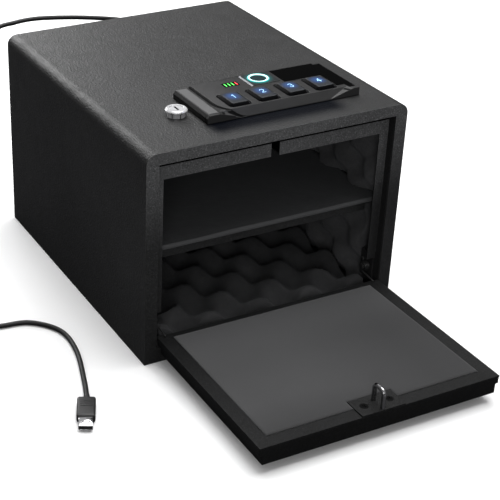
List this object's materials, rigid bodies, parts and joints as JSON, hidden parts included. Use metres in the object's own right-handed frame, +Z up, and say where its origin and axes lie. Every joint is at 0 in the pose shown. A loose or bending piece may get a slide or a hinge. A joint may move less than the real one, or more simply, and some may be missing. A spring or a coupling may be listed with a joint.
{
  "type": "gun safe",
  "caption": "Compact steel safe with a drop-down front door, roof keypad and fingerprint reader, key override, padded shelf and foam-lined interior.",
  "frame": {"origin": "centre of the four fixing holes in the underside of the cabinet, on the floor plane", "axes": "+X to the right seen from the front, +Y from the door to the back, +Z up; the door is open and level at rest"},
  "size_m": [0.3982, 0.5228, 0.2159],
  "materials": {
    "powder_black": "fine-textured black powder coat",
    "hinge_steel": "black satin",
    "black_steel": "black oxide, semi-gloss",
    "zinc_steel": "zinc plated",
    "spring_steel": "drawn wire",
    "polished_steel": "polished",
    "lock_chrome": "bright plated",
    "pad_foam": "dense closed-cell foam, matte",
    "wave_foam": "open-cell foam, matte",
    "black_plastic": "moulded, matte",
    "keypad_plastic": "satin moulded",
    "button_plastic": "satin, lit from below",
    "trim_silver": "satin silver-grey",
    "gloss_black": "piano gloss",
    "sensor_glass": "polished window",
    "ring_light": "lit diffuser",
    "status_led": "lit window",
    "button_rubber": "silicone",
    "circuit_board": "solder mask",
    "coil_tape": "wound coil with tape",
    "battery_wrap": "plain sleeve",
    "cable_rubber": "satin cable jacket"
  },
  "bodies": {
    "cabinet": {"outer_shell": "powder_black", "back_panel": "powder_black", "door_frame": "powder_black", "hinge_frame_leaves": "hinge_steel", "hinge_pins": "hinge_steel", "spring_brackets": "zinc_steel", "door_springs": "spring_steel", "shelf_tray": "powder_black", "shelf_pad": "pad_foam", "shelf_brackets": "powder_black", "foam_left": "wave_foam", "foam_right": "wave_foam", "foam_back": "wave_foam", "foam_floor": "wave_foam", "foam_ceiling": "wave_foam", "mechanism_cover": "powder_black", "cover_posts": "zinc_steel", "cover_screws": "black_steel", "battery_box": "black_plastic", "battery_contacts": "spring_steel", "batteries": "battery_wrap", "latch_base": "zinc_steel", "latch_pivot": "zinc_steel", "latch_spring": "spring_steel", "solenoid_frame": "zinc_steel", "solenoid_coil": "coil_tape", "control_board": "circuit_board", "lock_body": "lock_chrome", "lock_nut": "zinc_steel", "keypad_housing": "keypad_plastic", "keypad_trim": "trim_silver", "keypad_gloss": "gloss_black", "status_lights": "status_led", "sensor_bezel": "gloss_black", "sensor_ring": "ring_light", "sensor_window": "sensor_glass", "keypad_board": "circuit_board", "button_mat": "button_rubber", "keypad_screws": "black_steel", "power_socket": "black_plastic", "power_lead": "cable_rubber", "lead_plug_safe": "cable_rubber", "lead_plug_usb": "cable_rubber"},
    "door": {"door_panel": "powder_black", "door_inner_plate": "powder_black", "hinge_door_leaves": "hinge_steel", "door_pad": "pad_foam", "striker_plate": "black_steel", "striker_loop": "polished_steel", "striker_screws": "black_steel"},
    "hook": {"latch_hook": "zinc_steel"},
    "plunger": {"solenoid_plunger": "polished_steel"},
    "lock_core": {"lock_plug": "lock_chrome", "lock_cam": "zinc_steel", "lock_cam_screw": "zinc_steel"},
    "battery_lid": {"battery_door": "black_plastic"},
    "key_1": {"button_1": "button_plastic"},
    "key_2": {"button_2": "button_plastic"},
    "key_3": {"button_3": "button_plastic"},
    "key_4": {"button_4": "button_plastic"}
  },
  "joints": [
    {"name": "door_hinge", "type": "hinge", "parent": "cabinet", "child": "door", "pos_m": [0, -0.156, 0.01775], "axis": [-1, 0, 0], "range_deg": [0, 90], "deforming": ["door_springs"]},
    {"name": "latch_swing", "type": "hinge", "parent": "cabinet", "child": "hook", "pos_m": [-0.001, -0.0995, 0.18425], "axis": [0, 0, 1], "range_deg": [0, 20]},
    {"name": "plunger_slide", "type": "slide", "parent": "cabinet", "child": "plunger", "axis": [0, -1, 0], "range_m": [0, 0.0074]},
    {"name": "lock_turn", "type": "hinge", "parent": "cabinet", "child": "lock_core", "pos_m": [-0.07, -0.093, 0.195], "axis": [0, 0, 1], "range_deg": [0, 90]},
    {"name": "battery_lid_hinge", "type": "hinge", "parent": "cabinet", "child": "battery_lid", "pos_m": [0, 0.0162, 0.1779], "axis": [1, 0, 0], "range_deg": [0, 90]},
    {"name": "button_1_press", "type": "slide", "parent": "cabinet", "child": "key_1", "axis": [0, 0, -1], "range_m": [0, 0.001], "stiffness_N_per_m": 900},
    {"name": "button_2_press", "type": "slide", "parent": "cabinet", "child": "key_2", "axis": [0, 0, -1], "range_m": [0, 0.001], "stiffness_N_per_m": 900},
    {"name": "button_3_press", "type": "slide", "parent": "cabinet", "child": "key_3", "axis": [0, 0, -1], "range_m": [0, 0.001], "stiffness_N_per_m": 900},
    {"name": "button_4_press", "type": "slide", "parent": "cabinet", "child": "key_4", "axis": [0, 0, -1], "range_m": [0, 0.001], "stiffness_N_per_m": 900}
  ],
  "couplings": [
    {"joint": "plunger_slide", "follows": "latch_swing", "m_per_rad": 0.02085}
  ]
}
